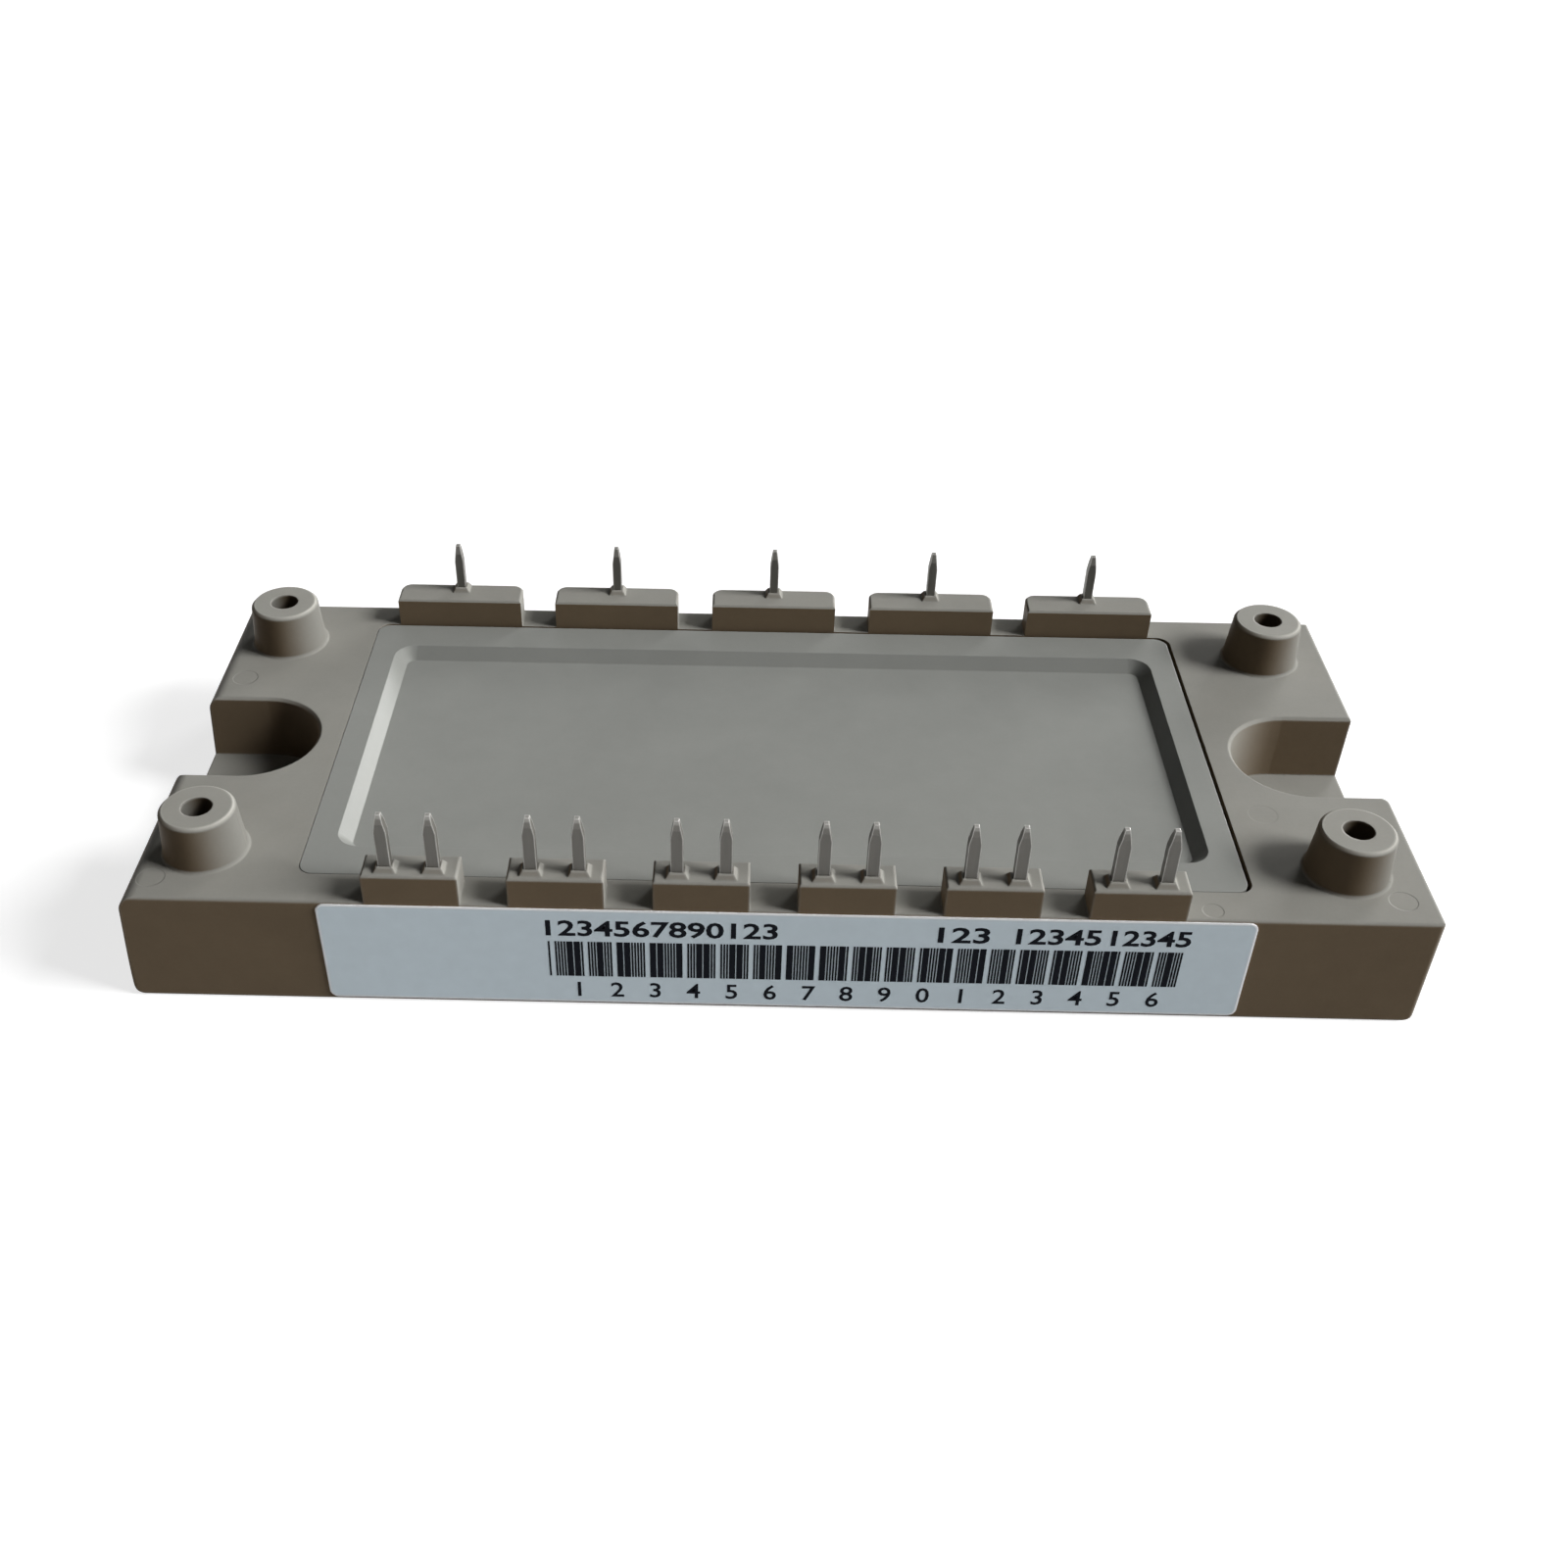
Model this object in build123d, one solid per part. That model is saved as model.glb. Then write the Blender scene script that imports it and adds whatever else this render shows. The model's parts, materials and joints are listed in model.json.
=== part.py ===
from build123d import *
import os
from math import atan2, degrees, hypot

# A six-switch power module: a moulded frame on a plated copper base plate, closed by a dished lid.
# Twelve control pins stand in pairs along the front, five power pins along the back, and the chips
# lie on one ceramic inside, bonded with aluminium wire and drowned in silicone gel.
# Frame: X along the length, Y from the labelled front face towards the power pins, Z up.
# Origin: the middle of the base plate's underside. All sizes are in millimetres.

# Fixing grid, and the body around it
SCREW_SPACING = 93.0
SCREW_HOLE_DIAMETER = 5.5
END_MARGIN = 6.2
BOSS_ROW_SPACING = 32.0
SIDE_MARGIN = 6.5
BODY_TOP = 10.6
STANDOFF = 0.2
CORNER_RADIUS = 0.4
EDGE_RADIUS = 0.25
FOOT_RADIUS = 0.9
MARKED_END_LEAN = 0.75
MARKED_END_RADIUS = 1.4

# End notches over the screws
NOTCH_WIDTH = 11.7
NOTCH_MOUTH_RADIUS = 1.3
NOTCH_WEB = 2.2
LEDGE_TOP = 4.25
LEDGE_HOLE_CLEARANCE = 0.25

# Bosses that carry the circuit board
BOSS_TOP = 14.8
BOSS_TOP_DIAMETER = 6.2
BOSS_BASE_DIAMETER = 6.8
BOSS_RIM_BREAK = 0.25
BOSS_FOOT_BREAK = 0.2
BOSS_HOLE_DIAMETER = 2.5
BOSS_HOLE_DEPTH = 9.0

# Terminal blocks and pins
BLOCK_TOP = 13.3
BLOCK_CHAMFER = 0.15
CONTROL_PAIRS = 6
CONTROL_PAIR_PITCH = 11.43
CONTROL_PIN_PITCH = 3.81
CONTROL_BLOCK_LENGTH = 7.62
CONTROL_BLOCK_DEPTH = 2.85
CONTROL_ROW_INSET = 1.2
CONTROL_PIN_WIDTH = 1.0
CONTROL_PIN_TOP = 18.6
CONTROL_PAD_WIDTH = 1.6
POWER_PINS = 5
POWER_PIN_PITCH = 15.24
POWER_BLOCK_LENGTH = 11.9
POWER_BLOCK_DEPTH = 3.2
POWER_BLOCK_CORNER = 1.0
POWER_ROW_INSET = 0.85
POWER_PIN_WIDTH = 0.8
POWER_PIN_TOP = 18.1
POWER_PAD_WIDTH = 4.0
LEAD_THICKNESS = 0.8
LEAD_BEND = 0.9
PIN_POINT_LENGTH = 1.6
PIN_POINT_WIDTH = 0.4
PAD_LENGTH = 2.4
PAD_SETBACK = 0.3
COLLAR_HEIGHT = 0.4
COLLAR_RIM = 0.15
COLLAR_FOOT = 0.4

# Lid, its seat and its dish
LID_RIM_THICKNESS = 1.6
LID_FLOOR_THICKNESS = 1.2
LID_SEAT_WIDTH = 1.3
LID_FRONT_RIM = 0.6
LID_CORNER_RADIUS = 1.2
LID_GAP_MARKED_END = 0.05
LID_GAP_PLAIN_END = 0.35
LID_GAP_FRONT = 0.05
LID_GAP_BACK = 0.25
DISH_RIM_ENDS = 2.3
DISH_RIM_SIDES = 3.6
DISH_DEPTH = 1.0
DISH_SLOPE = 1.1
DISH_CORNER_RADIUS = 1.9

# Base plate, and the bead that glues the moulding to it
PLATE_THICKNESS = 3.0
PLATE_SKIRT = 1.3
PLATE_CLEARANCE = 0.1
PLATE_CORNER_RADIUS = 0.8
BEAD_WIDTH = 1.6
BEAD_HEIGHT = 0.5
BEAD_INSET = 0.8

# Label
LABEL_LENGTH = 74.4
LABEL_HEIGHT = 10.0
LABEL_OFFSET_X = 0.9
LABEL_THICKNESS = 0.1
LABEL_CORNER_RADIUS = 0.7

# Chip well, shelf for the lead pads, and the stack on the base plate
SHELF_WIDTH = 3.2
SHELF_TOP = 6.2
CERAMIC_CLEARANCE = 0.5
CERAMIC_THICKNESS = 0.65
COPPER_THICKNESS = 0.3
COPPER_MARGIN = 0.7
COPPER_GAP = 0.6
BASE_SOLDER_THICKNESS = 0.25
LEG_WIDTH = 4.7
POSITIVE_ROW_DEPTH = 9.9
RELAY_PAD_SIZE = 1.3
NEGATIVE_STRIP_WIDTH = 2.0
PHASES = 3
CHIP_THICKNESS = 0.4
CHIP_SOLDER_THICKNESS = 0.1
CHIP_EDGE = 0.8
SWITCH_SIZE = 8.4
DIODE_SIZE = 6.0
DIODE_EDGE = 1.4
LANDING_DEPTH = 1.8
WIRE_SIZE = 0.3
WIRE_FOOT = 0.5
WIRE_RISE = 1.8
PAD_WIRE_RISE = 0.5
GEL_TOP = 8.2

# Places that follow from the driving sizes
HALF_LENGTH = SCREW_SPACING / 2 + END_MARGIN
HALF_WIDTH = BOSS_ROW_SPACING / 2 + SIDE_MARGIN
CONTROL_ROW_Y = -HALF_WIDTH + CONTROL_ROW_INSET
POWER_ROW_Y = HALF_WIDTH - POWER_ROW_INSET
POCKET_X = SCREW_SPACING / 2 - NOTCH_WIDTH / 2 - NOTCH_WEB
POCKET_FRONT = -HALF_WIDTH + CONTROL_BLOCK_DEPTH + LID_FRONT_RIM
POCKET_BACK = HALF_WIDTH - POWER_BLOCK_DEPTH
LID_SEAT_Z = BODY_TOP - LID_RIM_THICKNESS
CAVITY_X = POCKET_X - LID_SEAT_WIDTH
CAVITY_FRONT = POCKET_FRONT + LID_SEAT_WIDTH
CAVITY_BACK = POCKET_BACK - LID_SEAT_WIDTH
WELL_FRONT = CAVITY_FRONT + SHELF_WIDTH
WELL_BACK = CAVITY_BACK - SHELF_WIDTH
CERAMIC_X = CAVITY_X - CERAMIC_CLEARANCE
CERAMIC_FRONT = WELL_FRONT + CERAMIC_CLEARANCE
CERAMIC_BACK = WELL_BACK - CERAMIC_CLEARANCE
COPPER_X = CERAMIC_X - COPPER_MARGIN
COPPER_FRONT = CERAMIC_FRONT + COPPER_MARGIN
COPPER_BACK = CERAMIC_BACK - COPPER_MARGIN
LOWER_COPPER_Z = PLATE_THICKNESS + BASE_SOLDER_THICKNESS
CERAMIC_Z = LOWER_COPPER_Z + COPPER_THICKNESS
ISLAND_Z = CERAMIC_Z + CERAMIC_THICKNESS
ISLAND_TOP = ISLAND_Z + COPPER_THICKNESS
CHIP_Z = ISLAND_TOP + CHIP_SOLDER_THICKNESS
CHIP_TOP = CHIP_Z + CHIP_THICKNESS
PAD_TOP = SHELF_TOP + LEAD_THICKNESS
RELAY_FRONT = COPPER_FRONT + POSITIVE_ROW_DEPTH + COPPER_GAP
STRIP_FRONT = RELAY_FRONT + RELAY_PAD_SIZE + COPPER_GAP
STRIP_BACK = STRIP_FRONT + NEGATIVE_STRIP_WIDTH
PHASE_FRONT = STRIP_BACK + COPPER_GAP
PHASES_X = COPPER_X - LEG_WIDTH - COPPER_GAP
CELL_PITCH = (2 * PHASES_X + COPPER_GAP) / PHASES
CELL_LENGTH = CELL_PITCH - COPPER_GAP
HIGH_ROW_Y = COPPER_FRONT + POSITIVE_ROW_DEPTH / 2
LOW_ROW_Y = PHASE_FRONT + LANDING_DEPTH + SWITCH_SIZE / 2
OVERCUT = 1.0


def block(x0, x1, y0, y1, z0, z1, radius=0.0):
    """A box between six planes, with its upright corners rounded in plan where a radius is given."""
    size = (x1 - x0, y1 - y0)
    plan = RectangleRounded(*size, radius) if radius else Rectangle(*size)
    return extrude(Pos((x0 + x1) / 2, (y0 + y1) / 2, z0) * plan, z1 - z0)


def row(count, pitch):
    """Places along X of a centred row."""
    return [(index - (count - 1) / 2) * pitch for index in range(count)]


CONTROL_PAIR_X = row(CONTROL_PAIRS, CONTROL_PAIR_PITCH)
CONTROL_PIN_X = [pair + side for pair in CONTROL_PAIR_X for side in row(2, CONTROL_PIN_PITCH)]
POWER_PIN_X = row(POWER_PINS, POWER_PIN_PITCH)
CELL_X = row(PHASES, CELL_PITCH)


def screw_hole(end, diameter, top):
    """The hole of the fixing screw at one end (-1 or +1), cut through everything up to a height."""
    depth = top + 2 * OVERCUT
    return Pos(end * SCREW_SPACING / 2, 0, depth / 2 - OVERCUT) * Cylinder(diameter / 2, depth)


def notch_plan(end):
    """Plan of a notch that opens at one end and closes in a half circle around the screw."""
    centre = SCREW_SPACING / 2
    length = HALF_LENGTH + OVERCUT - centre
    straight = Pos(end * (centre + length / 2), 0) * Rectangle(length, NOTCH_WIDTH)
    return straight + Pos(end * centre, 0) * Circle(NOTCH_WIDTH / 2)


def notch(end):
    """The clearance for a screw head: a U down to the ledge, its front mouth corner rounded."""
    side = -NOTCH_WIDTH / 2
    radius = NOTCH_MOUTH_RADIUS
    mouth = Pos(end * (HALF_LENGTH - radius / 2), side - radius / 2) * Rectangle(radius, radius)
    mouth -= Pos(end * (HALF_LENGTH - radius), side - radius) * Circle(radius)
    shaft = extrude(Pos(0, 0, LEDGE_TOP) * (notch_plan(end) + mouth), BODY_TOP)
    rim = Pos(0, 0, BODY_TOP - EDGE_RADIUS) * notch_plan(end)
    return shaft + extrude(rim, 2 * EDGE_RADIUS, taper=-45)


def lead(row_y, top, width, pad_width, pad_outer):
    """A bent strip: a bond pad on the shelf, a run out through the wall, and a pointed blade."""
    out = 1 if row_y > 0 else -1
    half = LEAD_THICKNESS / 2
    outer, inner = row_y + out * half, row_y - out * half
    point = row_y + out * PIN_POINT_WIDTH / 2, row_y - out * PIN_POINT_WIDTH / 2
    shoulder = top - PIN_POINT_LENGTH / 2
    pad_middle = pad_outer - out * PAD_LENGTH / 2
    bend = LEAD_BEND
    side_view = Polyline(
        (pad_middle, SHELF_TOP), (outer - out * bend, SHELF_TOP), (outer, SHELF_TOP + bend),
        (outer, shoulder), (point[0], top), (point[1], top),
        (inner, shoulder), (inner, PAD_TOP), (pad_middle, PAD_TOP), close=True)
    front_view = Polyline(
        (-width / 2, 0), (width / 2, 0), (width / 2, top - PIN_POINT_LENGTH),
        (PIN_POINT_WIDTH / 2, top), (-PIN_POINT_WIDTH / 2, top),
        (-width / 2, top - PIN_POINT_LENGTH), close=True)
    strip = extrude(Plane.YZ * make_face(side_view), width, both=True)
    strip &= extrude(Plane.XZ * make_face(front_view), 2 * HALF_WIDTH, both=True)
    y0, y1 = sorted((pad_outer, pad_outer - out * PAD_LENGTH))
    return strip + block(-pad_width / 2, pad_width / 2, y0, y1, SHELF_TOP, PAD_TOP)


CONTROL_PAD_OUTER = CAVITY_FRONT + PAD_SETBACK
POWER_PAD_OUTER = CAVITY_BACK - PAD_SETBACK
CONTROL_PAD_Y = CONTROL_PAD_OUTER + PAD_LENGTH / 2
POWER_PAD_Y = POWER_PAD_OUTER - PAD_LENGTH / 2


def control_pins():
    """Twelve leads for the gates and their return lines."""
    pin = lead(CONTROL_ROW_Y, CONTROL_PIN_TOP, CONTROL_PIN_WIDTH, CONTROL_PAD_WIDTH, CONTROL_PAD_OUTER)
    return [Pos(x, 0, 0) * pin for x in CONTROL_PIN_X]


def power_pins():
    """Five leads: direct current in at the two ends, and the three phases between them."""
    pin = lead(POWER_ROW_Y, POWER_PIN_TOP, POWER_PIN_WIDTH, POWER_PAD_WIDTH, POWER_PAD_OUTER)
    return [Pos(x, 0, 0) * pin for x in POWER_PIN_X]


def body_blank():
    """The outside of the moulding: its plan, its front view and its end view, intersected."""
    width, height = 2 * HALF_WIDTH, BODY_TOP - STANDOFF
    middle = STANDOFF + height / 2
    plan = block(-HALF_LENGTH, HALF_LENGTH, -HALF_WIDTH, HALF_WIDTH, STANDOFF, BODY_TOP, CORNER_RADIUS)
    front = make_face(Polyline(
        (-HALF_LENGTH, STANDOFF), (HALF_LENGTH, STANDOFF), (HALF_LENGTH, BODY_TOP),
        (-HALF_LENGTH + MARKED_END_LEAN, BODY_TOP), close=True))
    low = front.vertices().group_by(Axis.Y)[0]
    front = fillet(low, FOOT_RADIUS)
    marked = front.vertices().group_by(Axis.Y)[-1].sort_by(Axis.X)[0]
    front = fillet(marked, MARKED_END_RADIUS)
    plain = front.vertices().group_by(Axis.Y)[-1].sort_by(Axis.X)[-1]
    front = fillet(plain, EDGE_RADIUS)
    end = Pos(0, middle) * Rectangle(width, height)
    end = fillet(end.vertices().group_by(Axis.Y)[-1], EDGE_RADIUS)
    blank = plan & extrude(Plane.XZ * front, HALF_WIDTH, both=True)
    return blank & extrude(Plane.YZ * end, HALF_LENGTH, both=True)


def boss(x, y):
    """A slightly conical post with a broken rim and a spread foot; its screw hole is cut later."""
    root = BODY_TOP - EDGE_RADIUS
    base, top = BOSS_BASE_DIAMETER / 2, BOSS_TOP_DIAMETER / 2
    profile = Polyline(
        (0, root), (base + BOSS_FOOT_BREAK, root), (base + BOSS_FOOT_BREAK, BODY_TOP),
        (base, BODY_TOP + BOSS_FOOT_BREAK), (top, BOSS_TOP - BOSS_RIM_BREAK),
        (top - BOSS_RIM_BREAK, BOSS_TOP), (0, BOSS_TOP), close=True)
    return Pos(x, y, 0) * revolve(Plane.XZ * make_face(profile), Axis.Z)


def boss_hole(x, y):
    """A blind hole for a self-tapping screw."""
    below = (Align.CENTER, Align.CENTER, Align.MAX)
    return Pos(x, y, BOSS_TOP) * Cylinder(BOSS_HOLE_DIAMETER / 2, BOSS_HOLE_DEPTH, align=below)


def terminal_block(x, length, y0, y1, rear_corner=0.0):
    """A raised block around the pins, its top edges broken and its rear corners rounded in plan."""
    plan = Pos(x, (y0 + y1) / 2, BODY_TOP - 2 * EDGE_RADIUS) * Rectangle(length, y1 - y0)
    if rear_corner:
        plan = fillet(plan.vertices().group_by(Axis.Y)[-1], rear_corner)
    solid = extrude(plan, BLOCK_TOP - BODY_TOP + 2 * EDGE_RADIUS)
    return chamfer(solid.edges().group_by(Axis.Z)[-1], BLOCK_CHAMFER)


def collar(x, y, pin_width):
    """The small raised rim of plastic that grips a pin where it leaves its block."""
    foot = Rectangle(pin_width + 2 * COLLAR_FOOT, LEAD_THICKNESS + 2 * COLLAR_FOOT)
    lean = degrees(atan2(COLLAR_FOOT - COLLAR_RIM, COLLAR_HEIGHT))
    return extrude(Pos(x, y, BLOCK_TOP) * foot, COLLAR_HEIGHT, taper=lean)


def bead():
    """The glue ring between the moulding and the base plate, around the chip well."""
    inner = BEAD_INSET
    outer = BEAD_INSET + BEAD_WIDTH
    z0, z1 = PLATE_THICKNESS, PLATE_THICKNESS + BEAD_HEIGHT
    ring = block(-CAVITY_X - outer, CAVITY_X + outer, WELL_FRONT - outer, WELL_BACK + outer, z0, z1)
    return ring - block(-CAVITY_X - inner, CAVITY_X + inner, WELL_FRONT - inner, WELL_BACK + inner, z0, z1)


def housing(glue, pins):
    """The moulded frame: walls, blocks, bosses and end notches, moulded around the leads."""
    body = body_blank()
    boss_places = [(x * SCREW_SPACING / 2, y * BOSS_ROW_SPACING / 2) for x in (-1, 1) for y in (-1, 1)]
    for x, y in boss_places:
        body += boss(x, y)
    front_face, back_face = -HALF_WIDTH, HALF_WIDTH
    for x in CONTROL_PAIR_X:
        body += terminal_block(x, CONTROL_BLOCK_LENGTH, front_face, front_face + CONTROL_BLOCK_DEPTH)
    for x in POWER_PIN_X:
        y0 = back_face - POWER_BLOCK_DEPTH
        body += terminal_block(x, POWER_BLOCK_LENGTH, y0, back_face, POWER_BLOCK_CORNER)
    for x in CONTROL_PIN_X:
        body += collar(x, CONTROL_ROW_Y, CONTROL_PIN_WIDTH)
    for x in POWER_PIN_X:
        body += collar(x, POWER_ROW_Y, POWER_PIN_WIDTH)
    for x, y in boss_places:
        body -= boss_hole(x, y)
    ledge_hole = SCREW_HOLE_DIAMETER + 2 * LEDGE_HOLE_CLEARANCE
    for end in (-1, 1):
        body -= notch(end)
        body -= screw_hole(end, ledge_hole, LEDGE_TOP)
    body -= block(-POCKET_X, POCKET_X, POCKET_FRONT, POCKET_BACK, LID_SEAT_Z, BODY_TOP + OVERCUT,
                  LID_CORNER_RADIUS)
    body -= block(-CAVITY_X, CAVITY_X, CAVITY_FRONT, CAVITY_BACK, SHELF_TOP, BODY_TOP)
    body -= block(-CAVITY_X, CAVITY_X, WELL_FRONT, WELL_BACK, 0, BODY_TOP)
    reach = PLATE_SKIRT - PLATE_CLEARANCE
    body -= block(-HALF_LENGTH + reach, HALF_LENGTH - reach, -HALF_WIDTH + reach, HALF_WIDTH - reach,
                  0, PLATE_THICKNESS, PLATE_CORNER_RADIUS)
    body -= glue
    for pin in pins:
        body -= pin
    return body


def lid():
    """The lid: a plate in the pocket, pushed to the marked end and the front, with a shallow dish."""
    x0, x1 = -POCKET_X + LID_GAP_MARKED_END, POCKET_X - LID_GAP_PLAIN_END
    y0, y1 = POCKET_FRONT + LID_GAP_FRONT, POCKET_BACK - LID_GAP_BACK
    plate = block(x0, x1, y0, y1, LID_SEAT_Z, BODY_TOP, LID_CORNER_RADIUS)
    dish_x = (x1 - x0) - 2 * DISH_RIM_ENDS
    dish_y = (y1 - y0) - 2 * DISH_RIM_SIDES
    middle = Pos((x0 + x1) / 2, (y0 + y1) / 2, 0)
    outline = RectangleRounded(dish_x, dish_y, DISH_CORNER_RADIUS)
    lean = degrees(atan2(DISH_SLOPE, DISH_DEPTH))
    dish = extrude(Pos(0, 0, BODY_TOP) * outline, -DISH_DEPTH, taper=lean)
    underside = BODY_TOP - DISH_DEPTH - LID_FLOOR_THICKNESS
    belly = extrude(Pos(0, 0, underside) * Rectangle(dish_x, dish_y), LID_SEAT_Z - underside)
    return plate + middle * belly - middle * dish


def base_plate():
    """The stamped copper plate, with a screw hole at each end."""
    x, y = HALF_LENGTH - PLATE_SKIRT, HALF_WIDTH - PLATE_SKIRT
    plate = block(-x, x, -y, y, 0, PLATE_THICKNESS, PLATE_CORNER_RADIUS)
    for end in (-1, 1):
        plate -= screw_hole(end, SCREW_HOLE_DIAMETER, PLATE_THICKNESS)
    return plate


def label():
    """The paper label on the front face."""
    middle = (BODY_TOP + STANDOFF) / 2
    outline = Pos(LABEL_OFFSET_X, middle) * RectangleRounded(LABEL_LENGTH, LABEL_HEIGHT, LABEL_CORNER_RADIUS)
    return extrude(Plane.XZ.offset(HALF_WIDTH) * outline, LABEL_THICKNESS)


def copper_islands():
    """The etched upper copper: a positive and a negative rail with a leg each, and three phases."""
    z0, z1 = ISLAND_Z, ISLAND_TOP
    leg = COPPER_X - LEG_WIDTH
    row_back = COPPER_FRONT + POSITIVE_ROW_DEPTH
    islands = {
        "copper_positive": block(-COPPER_X, COPPER_X, COPPER_FRONT, row_back, z0, z1)
        + block(-COPPER_X, -leg, COPPER_FRONT, COPPER_BACK, z0, z1),
        "copper_negative": block(-PHASES_X, COPPER_X, STRIP_FRONT, STRIP_BACK, z0, z1)
        + block(leg, COPPER_X, STRIP_FRONT, COPPER_BACK, z0, z1)}
    for name, x in zip("uvw", CELL_X):
        half = CELL_LENGTH / 2
        islands["copper_phase_" + name] = block(x - half, x + half, PHASE_FRONT, COPPER_BACK, z0, z1)
    return islands


def switch_x(cell):
    """Middle of the switch chip in a cell."""
    return cell - CELL_LENGTH / 2 + CHIP_EDGE + SWITCH_SIZE / 2


def diode_x(cell):
    """Middle of the diode chip in a cell."""
    return cell + CELL_LENGTH / 2 - DIODE_EDGE - DIODE_SIZE / 2


def relay_places(cell):
    """Middles of the two relay pads of a cell: the gate's and the return line's."""
    return (switch_x(cell) + diode_x(cell)) / 2 + (SWITCH_SIZE - DIODE_SIZE) / 4, cell + CELL_LENGTH / 2


def relay_pads():
    """Small copper squares where the long control wires are bonded again on their way."""
    half = RELAY_PAD_SIZE / 2
    places = [x for cell in CELL_X for x in relay_places(cell)]
    return [block(x - half, x + half, RELAY_FRONT, RELAY_FRONT + RELAY_PAD_SIZE, ISLAND_Z, ISLAND_TOP)
            for x in places]


def chip_places():
    """Every chip's name, middle and size, the high side in front and the low side behind."""
    places = []
    for side, y in (("high", HIGH_ROW_Y), ("low", LOW_ROW_Y)):
        for name, cell in zip("uvw", CELL_X):
            places.append((f"switch_chip_{side}_{name}", switch_x(cell), y, SWITCH_SIZE))
            places.append((f"diode_chip_{side}_{name}", diode_x(cell), y, DIODE_SIZE))
    return places


def square(x, y, size, z0, z1):
    """A square tile on its middle."""
    half = size / 2
    return block(x - half, x + half, y - half, y + half, z0, z1)


def wire(start, end, rise):
    """A bonded wire: a flat foot at each end and an arch between them, square in section."""
    run = hypot(end[0] - start[0], end[1] - start[1])
    along = Vector((end[0] - start[0]) / run, (end[1] - start[1]) / run, 0)
    drop = end[2] - start[2]
    foot = WIRE_FOOT / 2
    crest = max(0.0, drop) + rise
    under = [(-foot, 0), (foot, 0), (run / 3, crest), (2 * run / 3, crest),
             (run - foot, drop), (run + foot, drop)]
    over = [(s, z + WIRE_SIZE) for s, z in reversed(under)]
    outline = make_face(Polyline(*under, *over, close=True))
    plane = Plane(origin=start, x_dir=along, z_dir=along.cross(Vector(0, 0, 1)))
    return extrude(plane * outline, WIRE_SIZE / 2, both=True)


def power_wires():
    """Wires from each chip to the next rail, and from each rail to its power pin."""
    wires = []
    high_landing = PHASE_FRONT + LANDING_DEPTH / 2
    strip_middle = (STRIP_FRONT + STRIP_BACK) / 2
    step = DIODE_SIZE / 5
    for cell in CELL_X:
        for x in (switch_x(cell), diode_x(cell)):
            for shift in (-1.5 * step, 0.5 * step):
                wires.append(wire((x + shift, HIGH_ROW_Y, CHIP_TOP), (x + shift, high_landing, ISLAND_TOP),
                                  WIRE_RISE))
            for shift in (-0.5 * step, 1.5 * step):
                wires.append(wire((x + shift, LOW_ROW_Y, CHIP_TOP), (x + shift, strip_middle, ISLAND_TOP),
                                  WIRE_RISE))
    landing = COPPER_BACK - LANDING_DEPTH / 2
    leg_middle = COPPER_X - LEG_WIDTH / 2
    ends = [-leg_middle] + POWER_PIN_X[1:-1] + [leg_middle]
    for pin, end in zip(POWER_PIN_X, ends):
        for shift in (-step / 2, step / 2):
            wires.append(wire((pin + shift, POWER_PAD_Y, PAD_TOP), (end + shift, landing, ISLAND_TOP),
                              PAD_WIRE_RISE))
    return wires


def control_wires():
    """Thin wires from the control pins to the high side's chips, and by relay pads to the low side's."""
    wires = []
    edge = SWITCH_SIZE / 2 - 2 * WIRE_FOOT
    relay_y = RELAY_FRONT + RELAY_PAD_SIZE / 2
    strip_middle = (STRIP_FRONT + STRIP_BACK) / 2
    high_pairs, low_pairs = CONTROL_PAIR_X[0::2], CONTROL_PAIR_X[1::2]
    for cell, high_pair, low_pair in zip(CELL_X, high_pairs, low_pairs):
        gate = switch_x(cell)
        for side, target in zip((-1, 1), (gate - edge, gate - edge / 4)):
            pin = high_pair + side * CONTROL_PIN_PITCH / 2
            wires.append(wire((pin, CONTROL_PAD_Y, PAD_TOP), (target, HIGH_ROW_Y - edge, CHIP_TOP),
                              PAD_WIRE_RISE))
        gate_pad, return_pad = relay_places(cell)
        for side, target in zip((-1, 1), (gate_pad, return_pad)):
            pin = low_pair + side * CONTROL_PIN_PITCH / 2
            wires.append(wire((pin, CONTROL_PAD_Y, PAD_TOP), (target, relay_y - WIRE_SIZE, ISLAND_TOP),
                              PAD_WIRE_RISE))
        wires.append(wire((gate_pad, relay_y + WIRE_SIZE, ISLAND_TOP),
                          (gate + edge, LOW_ROW_Y - edge, CHIP_TOP), WIRE_RISE))
        wires.append(wire((return_pad, relay_y + WIRE_SIZE, ISLAND_TOP),
                          (return_pad, strip_middle, ISLAND_TOP), WIRE_RISE / 3))
    return wires


def gel(drowned):
    """The silicone gel that fills the well and covers the shelves, around all that it drowns."""
    fill = block(-CAVITY_X, CAVITY_X, WELL_FRONT, WELL_BACK, PLATE_THICKNESS, GEL_TOP)
    fill += block(-CAVITY_X, CAVITY_X, CAVITY_FRONT, CAVITY_BACK, SHELF_TOP, GEL_TOP)
    for piece in drowned:
        fill -= piece
    return fill


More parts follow.
